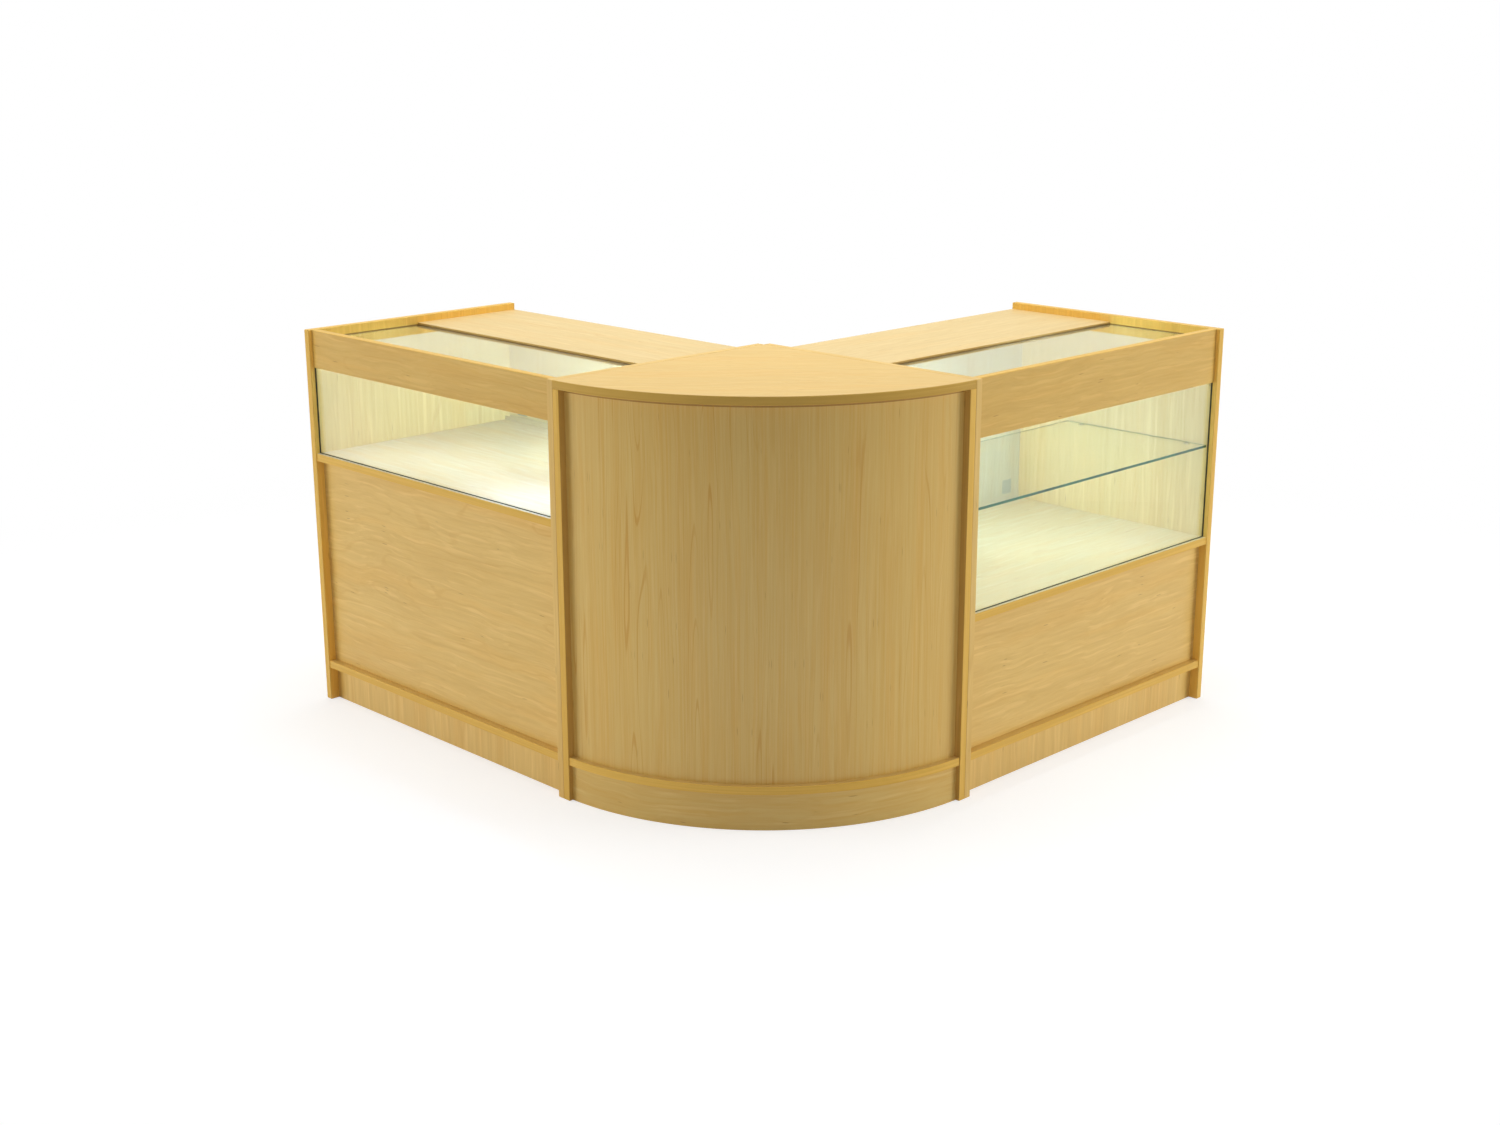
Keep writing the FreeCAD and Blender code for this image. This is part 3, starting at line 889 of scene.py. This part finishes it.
class COUNTER_OT_door_fittings(bpy.types.Operator):
    """Finish the pulls, locks and barrels, and add each lock's ring and screws"""

    bl_idname = "counter.door_fittings"
    bl_label = "Door Fittings"

    def execute(self, context):
        finish = context.scene.counter_finish
        detail = context.scene.counter_detail
        pull = drawn_metal("brushed_pull_steel", finish.steel, "Z", 0.3, density=1800.0)
        case = drawn_metal("satin_lock_nickel", finish.nickel, "Z", 0.36, density=2400.0)
        back = moulded_plastic("lock_back_plastic", finish.lock_back, 900.0)
        barrel = plated_metal("barrel_chrome", finish.chrome, 0.08)
        screw = plated_metal("lock_screw_steel", finish.screw, 0.22)
        for door, unit in DOORS.items():
            along, across = UNITS[unit]
            paint(door + "door_pull", pull)
            dress(door + "door_lock", dict.fromkeys("XYZ", case), across, side=(-1, back))
            paint(door + "lock_barrel", barrel)
            self.add_lock_trim(door, AXES[along], AXES[across], detail, barrel, screw)
        return {"FINISHED"}

    def add_lock_trim(self, door, along, across, detail, ring_metal, screw_metal):
        """Set a half-round ring about the barrel and a domed screw in each corner of the lock.

        The ring's section is a half ellipse, (1 - cos t) / 2 across by sin t high over a half turn, and
        the dome's is a quarter ellipse, cos t across by sin t high over a quarter turn.
        """
        low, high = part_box(door + "door_lock")
        barrel_low, barrel_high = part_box(door + "lock_barrel")
        sideways, outward, up = np.eye(3)[[along, across, 2]]
        body = door + "sliding_door"

        centre = np.array((barrel_low + barrel_high) / 2)
        centre[across] = high[across]
        inner = (barrel_high.z - barrel_low.z) / 2 + detail.ring_gap
        swing = np.linspace(0, math.pi, 13)
        ring = np.stack([inner + detail.ring_width * (1 - np.cos(swing)) / 2,
                         detail.ring_height * np.sin(swing)], axis=1)
        ring = np.concatenate([ring, ring[:1]])
        surface = turned_surface(ring, detail.sides, centre, outward)
        add_piece(door + "lock_ring", [surface], ring_metal, body)

        rise = np.linspace(0, math.pi / 2, 7)
        dome = np.stack([detail.screw_radius * np.cos(rise), detail.screw_height * np.sin(rise)], axis=1)
        dome = np.concatenate([[(0, 0)], dome])
        reach = (high.z - low.z) / 2 - detail.screw_inset
        middle = np.array((low + high) / 2)
        middle[across] = high[across]
        heads = [turned_surface(dome, detail.sides // 2, middle + reach * (i * sideways + j * up), outward)
                 for i in (-1, 1) for j in (-1, 1)]
        add_piece(door + "lock_screws", heads, screw_metal, body)


class COUNTER_OT_light_strips(bpy.types.Operator):
    """Finish the light channels and their glowing covers, and cap the channels' ends"""

    bl_idname = "counter.light_strips"
    bl_label = "Light Strips"

    def execute(self, context):
        finish = context.scene.counter_finish
        cover = opal_plastic("opal_light_cover", context.scene.counter_studio)
        cap = moulded_plastic("grey_end_cap", finish.end_cap, 900.0)
        for unit, (along, across) in UNITS.items():
            metal = drawn_metal(unit + "_light_aluminium", finish.aluminium, along, 0.36)
            paint(unit + "_light_channel", metal)
            paint(unit + "_light_diffuser", cover)
            self.add_end_caps(unit, AXES[along], AXES[across], context.scene.counter_detail.cap_depth, cap)
        return {"FINISHED"}

    def add_end_caps(self, unit, along, across, depth, material):
        """Close each end of the channel with a thin cap.

        The outline is a superellipse of the channel's section, |y/a|^5 + |z/b|^5 = 1, carried along
        the channel's axis and drawn in to a point at both ends of the cap.
        """
        low, high = (np.array(corner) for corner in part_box(unit + "_light_channel"))
        half, middle = (high - low) / 2, (high + low) / 2
        power = 2 / 5
        turn = np.linspace(0, 2 * math.pi, 48, endpoint=False)
        cosine, sine = np.cos(turn), np.sin(turn)
        side = np.sign(cosine) * np.abs(cosine) ** power * half[across]
        rise = np.sign(sine) * np.abs(sine) ** power * half[2]
        share = np.array([0.0, 0.94, 1.0, 1.0, 0.94, 0.0])[:, None]
        step = np.array([0.0, 0.0, 0.15, 0.85, 1.0, 1.0])[:, None] * depth
        surfaces = []
        for end, way in ((low, -1), (high, 1)):
            points = np.empty((len(share), len(turn), 3))
            points[..., along] = end[along] + way * step
            points[..., across] = middle[across] + share * side
            points[..., 2] = middle[2] + share * rise
            surfaces.append(closed_grid(points))
        add_piece(unit + "_light_end_caps", surfaces, material, "counter")


class COUNTER_OT_fasteners(bpy.types.Operator):
    """Finish the bolts and studs, and cover the fittings that hold the boards"""

    bl_idname = "counter.fasteners"
    bl_label = "Fasteners"

    def execute(self, context):
        finish = context.scene.counter_finish
        detail = context.scene.counter_detail
        zinc = plated_metal("bolt_zinc", finish.zinc, 0.3)
        nickel = plated_metal("stud_nickel", finish.steel, 0.2)
        plastic = moulded_plastic("fitting_cover_plastic", finish.cover, 1200.0)
        for unit in UNITS:
            paint(unit + "_connector_bolts", zinc)
            self.add_covers(unit, detail, plastic)
        paint("left_storage_shelf_studs", nickel)
        paint("right_glass_shelf_studs", nickel)
        return {"FINISHED"}

    def add_covers(self, unit, detail, material):
        """Set low domes under the display deck and the wood top, near the end panels.

        A dome's section is the root of cos t across by sin t high, over a quarter turn.
        """
        along, across = (AXES[axis] for axis in UNITS[unit])
        rise = np.linspace(0, math.pi / 2, 8)
        dome = np.stack([detail.cover_radius * np.cos(rise) ** 0.5,
                         detail.cover_height * np.sin(rise)], axis=1)
        dome = np.concatenate([[(0, 0)], dome])
        surfaces = []
        for board in ("_display_deck", "_wood_top"):
            low, high = (np.array(corner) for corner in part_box(unit + board))
            for end in (low[along] + detail.cover_inset, high[along] - detail.cover_inset):
                for depth in (low[across] + detail.cover_edge, high[across] - detail.cover_edge):
                    centre = np.empty(3)
                    centre[[along, across, 2]] = end, depth, low[2]
                    surfaces.append(turned_surface(dome, detail.sides, centre, (0, 0, -1)))
        add_piece(unit + "_fitting_covers", surfaces, material, "counter")


class COUNTER_OT_studio(bpy.types.Operator):
    """Set the floor, the lights, the white surroundings and the camera"""

    bl_idname = "counter.studio"
    bl_label = "Studio"

    def execute(self, context):
        scene = context.scene
        studio = scene.counter_studio
        scene.view_settings.view_transform = "Standard"
        self.add_floor(scene, studio)
        self.set_world(scene, studio)
        self.add_lamps(studio)
        self.add_display_lamps(studio)
        self.add_camera(scene, studio)
        return {"FINISHED"}

    def seen(self, tree):
        """Return 1 on rays from the camera, from gloss and through glass."""
        path = tree.node("LightPath").outputs
        seen = tree.maths("MAXIMUM", path["Is Camera Ray"], path["Is Glossy Ray"])
        return tree.maths("MAXIMUM", seen, path["Is Transmission Ray"])

    def add_floor(self, scene, studio):
        """Lay a wide floor: pale to the lamps, and lifted to white where it is seen, less its shadows."""
        tree = new_material("studio_floor")
        place = tree.place()
        cloud = tree.ramp(tree.noise(place, 1.5, 1.5, detail=3.0), 0.3, 0.7)
        pale = tree.blend(cloud, grey(studio.floor_tone), grey(0.97 * studio.floor_tone))
        plain = tree.node("BsdfDiffuse", {"Color": pale})
        shaded = tree.node("BsdfDiffuse", {"Color": grey(0.5)})
        lift = tree.node("Emission", {"Strength": studio.floor_lift})
        lifted = tree.node("AddShader", {0: shaded.outputs[0], 1: lift.outputs[0]})
        reach = tree.node("VectorMath", {0: place}, operation="LENGTH").outputs["Value"]
        away = tree.ramp(reach, studio.floor_near, studio.floor_far)
        white = tree.node("Emission", {"Strength": 1.0})
        shown = tree.node("MixShader", {0: away, 1: lifted.outputs[0], 2: white.outputs[0]})
        mixed = tree.node("MixShader", {0: self.seen(tree), 1: plain.outputs[0], 2: shown.outputs[0]})
        material = tree.finish(mixed.outputs[0])

        half, below = 30.0, 0.0003
        mesh = bpy.data.meshes.new("studio_floor")
        corners = np.array([(-1, -1, 0), (1, -1, 0), (1, 1, 0), (-1, 1, 0)]) * half
        corners[:, 2] = -below
        mesh.from_pydata(corners.tolist(), [], [(0, 1, 2, 3)])
        mesh.materials.append(material)
        floor = bpy.data.objects.new("studio_floor", mesh)
        scene.collection.objects.link(floor)

    def set_world(self, scene, studio):
        """Light the scene evenly from all round, show white behind it and dim its horizon in gloss."""
        scene.world = scene.world or bpy.data.worlds.new("studio_world")
        tree = Tree(scene.world)
        path = tree.node("LightPath").outputs
        white = tree.maths("MAXIMUM", path["Is Camera Ray"], path["Is Transmission Ray"])
        rise = tree.node("SeparateXYZ", {0: tree.node("TexCoord").outputs["Generated"]}).outputs[2]
        horizon, zenith = rgba(studio.horizon_colour), grey(studio.zenith_level)
        mirrored = tree.blend(tree.ramp(rise, 0.3, 0.5), horizon, zenith)
        colour = tree.blend(path["Is Glossy Ray"], grey(studio.sky_level), mirrored)
        colour = tree.blend(white, colour, WHITE)
        sky = tree.node("Background", {"Color": colour, "Strength": 1.0})
        tree.finish(sky.outputs[0], "OutputWorld")

    def lamp(self, name, place, target, size, power, colour=WHITE[:3], spread=math.pi):
        """Add an area lamp that faces a point."""
        data = bpy.data.lights.new(name, "AREA")
        data.shape = "RECTANGLE"
        data.size, data.size_y = size
        data.energy = power
        data.color = colour
        data.spread = spread
        lamp = bpy.data.objects.new(name, data)
        lamp.location = place
        facing = Vector(target) - Vector(place)
        lamp.rotation_euler = facing.to_track_quat("-Z", "Y").to_euler()
        lamp.visible_camera = False
        lamp.visible_glossy = False
        lamp.visible_transmission = False
        bpy.context.scene.collection.objects.link(lamp)
        return lamp

    def add_lamps(self, studio):
        """Hang a wide lamp overhead, stand one at each side of the view and lay a weak one before it."""
        middle = Vector((-0.2, -0.2, 0.45))
        overhead = (0.1, 0.1, 3.4)
        reach, lift = 6.0, Vector((0, 0, 0.5))
        nearer, low = 1.25, 0.03
        turn = studio.camera_turn
        sideways = Vector((math.cos(turn), math.sin(turn), 0))
        towards = Vector((-math.sin(turn), math.cos(turn), 0))
        self.lamp("top_lamp", overhead, middle, (3.0, 3.0), studio.top_power)
        for name, way, power in (("left_lamp", -1, studio.left_power), ("right_lamp", 1, studio.right_power)):
            self.lamp(name, middle + reach * way * sideways + lift, middle, (3.0, 2.5), power)
        place = middle - nearer * towards
        place.z = low
        self.lamp("bounce_lamp", place, place + towards + Vector((0, 0, 1)), (2.6, 0.6), studio.bounce_power)

    def line_lamp(self, name, place, along, across, tilt, size, power, colour, spread=math.pi):
        """Add a long lamp that faces down, turned towards the rear by its tilt."""
        first, rearwards, up = (Vector(way) for way in np.eye(3)[[along, across, 2]])
        facing = math.sin(tilt) * rearwards - math.cos(tilt) * up
        lamp = self.lamp(name, place, place + facing, size, power, colour, spread)
        lamp.rotation_euler = Matrix((first, first.cross(facing), -facing)).transposed().to_euler()

    def spot(self, unit, outwards, rearwards, height):
        """Return a place in a display, by shares of its length outwards and of its depth rearwards."""
        along, across = (AXES[axis] for axis in UNITS[unit])
        low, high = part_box(unit + "_display_deck")
        near, far = sorted((low[along], high[along]), key=lambda end: abs(end - CORNER_HIGH[along]))
        place = Vector((0, 0, height))
        place[along] = near + outwards * (far - near)
        place[across] = low[across] + rearwards * (high - low)[across]
        return place

    def add_display_lamps(self, studio):
        """Light each display from its strip, over its deck and towards its far corner, with a bluish glow.

        Places and targets are shares of a display's length from the corner and of its depth from the front.
        A glow's target stands above the deck, and a rear lamp and its target hang below the wood top.
        """
        ceilings = {"left": "left_wood_top", "right": "right_glass_shelf"}
        centres = {"left": (0.42, 0.56), "right": (0.5, 0.5)}
        glows = {
            "left": ((0.12, 0.12), (0.12, 0.16), 0.05),
            "right": ((0.45, 0.1), (1.0, 0.9), 0.2),
        }
        rears = {
            "left": ((0.14, 0.72), (0.95, 1.0), 0.04, 0.11),
            "right": ((0.15, 0.56), (0.97, 0.72), 0.13, 0.22),
        }
        kinds = ("strip", "glow", "rear", "deck")
        span, glow_span, shift = 0.85, 0.15, 0.05
        strip_gap, deck_gap, rear_size = 0.0005, 0.01, (0.15, 0.08)
        for unit, axes in UNITS.items():
            along, across = (AXES[axis] for axis in axes)
            power = {kind: getattr(studio, f"{unit}_{kind}_power") for kind in kinds}
            colour = {kind: getattr(studio, f"{unit}_{kind}_colour") for kind in kinds}
            low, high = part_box(unit + "_light_diffuser")
            length, width = (high - low)[along], (high - low)[across]
            place = (low + high) / 2
            place.z = low.z - strip_gap
            place[along] += shift * length * np.sign(CORNER_HIGH[along] - place[along])
            self.line_lamp(unit + "_strip_lamp", place, along, across, studio.strip_tilt,
                           (span * length, width), power["strip"], colour["strip"], studio.strip_spread)

            deck_low, deck_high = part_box(unit + "_display_deck")
            here, there, rise = glows[unit]
            self.lamp(unit + "_glow_lamp", self.spot(unit, *here, place.z),
                      self.spot(unit, *there, deck_high.z + rise), (glow_span * length, width),
                      power["glow"], colour["glow"], studio.strip_spread)

            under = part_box(unit + "_wood_top")[0].z
            here, there, drop, fall = rears[unit]
            self.lamp(unit + "_rear_lamp", self.spot(unit, *here, under - drop),
                      self.spot(unit, *there, under - fall), rear_size,
                      power["rear"], colour["rear"], studio.rear_spread)

            place = self.spot(unit, *centres[unit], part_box(ceilings[unit])[0].z - deck_gap)
            size = span * (deck_high - deck_low)
            self.line_lamp(unit + "_deck_lamp", place, along, across, 0.0, (size[along], size[across]),
                           power["deck"], colour["deck"])

    def add_camera(self, scene, studio):
        """Stand the camera where the photograph was taken from."""
        data = bpy.data.cameras.new("studio_camera")
        data.sensor_width = 36.0
        data.lens = studio.lens
        camera = bpy.data.objects.new("studio_camera", data)
        turn = Matrix.Rotation(studio.camera_turn, 3, "Z")
        tilt = Matrix.Rotation(math.pi / 2 - studio.camera_tilt, 3, "X")
        roll = Matrix.Rotation(studio.camera_roll, 3, "Z")
        camera.location = studio.camera_place
        camera.rotation_euler = (turn @ tilt @ roll).to_euler()
        scene.collection.objects.link(camera)
        scene.camera = camera


OPERATORS = (
    COUNTER_OT_end_panels,
    COUNTER_OT_front_boards,
    COUNTER_OT_level_boards,
    COUNTER_OT_plinths,
    COUNTER_OT_round_corner,
    COUNTER_OT_sliding_doors,
    COUNTER_OT_glazing,
    COUNTER_OT_door_tracks,
    COUNTER_OT_door_fittings,
    COUNTER_OT_light_strips,
    COUNTER_OT_fasteners,
    COUNTER_OT_studio,
)


class COUNTER_PT_panel(bpy.types.Panel):
    """The counter's operators in the sidebar"""

    bl_idname = "COUNTER_PT_panel"
    bl_label = "Corner Shop Counter"
    bl_space_type = "VIEW_3D"
    bl_region_type = "UI"
    bl_category = "Counter"

    def draw(self, context):
        for operator in OPERATORS:
            self.layout.operator(operator.bl_idname)


SETTINGS = {
    "counter_finish": CounterFinish,
    "counter_detail": CounterDetail,
    "counter_studio": CounterStudio,
}
CLASSES = (*SETTINGS.values(), *OPERATORS, COUNTER_PT_panel)


def register():
    """Register the classes and hang the settings on the scene."""
    for cls in CLASSES:
        bpy.utils.register_class(cls)
    for name, group in SETTINGS.items():
        setattr(bpy.types.Scene, name, PointerProperty(type=group))


def unregister():
    """Undo register."""
    for name in SETTINGS:
        delattr(bpy.types.Scene, name)
    for cls in reversed(CLASSES):
        bpy.utils.unregister_class(cls)


def main():
    """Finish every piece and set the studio."""
    register()
    bpy.ops.counter.end_panels()
    bpy.ops.counter.front_boards()
    bpy.ops.counter.level_boards()
    bpy.ops.counter.plinths()
    bpy.ops.counter.round_corner()
    bpy.ops.counter.sliding_doors()
    bpy.ops.counter.glazing()
    bpy.ops.counter.door_tracks()
    bpy.ops.counter.door_fittings()
    bpy.ops.counter.light_strips()
    bpy.ops.counter.fasteners()
    bpy.ops.counter.studio()


if __name__ == "__main__":
    main()
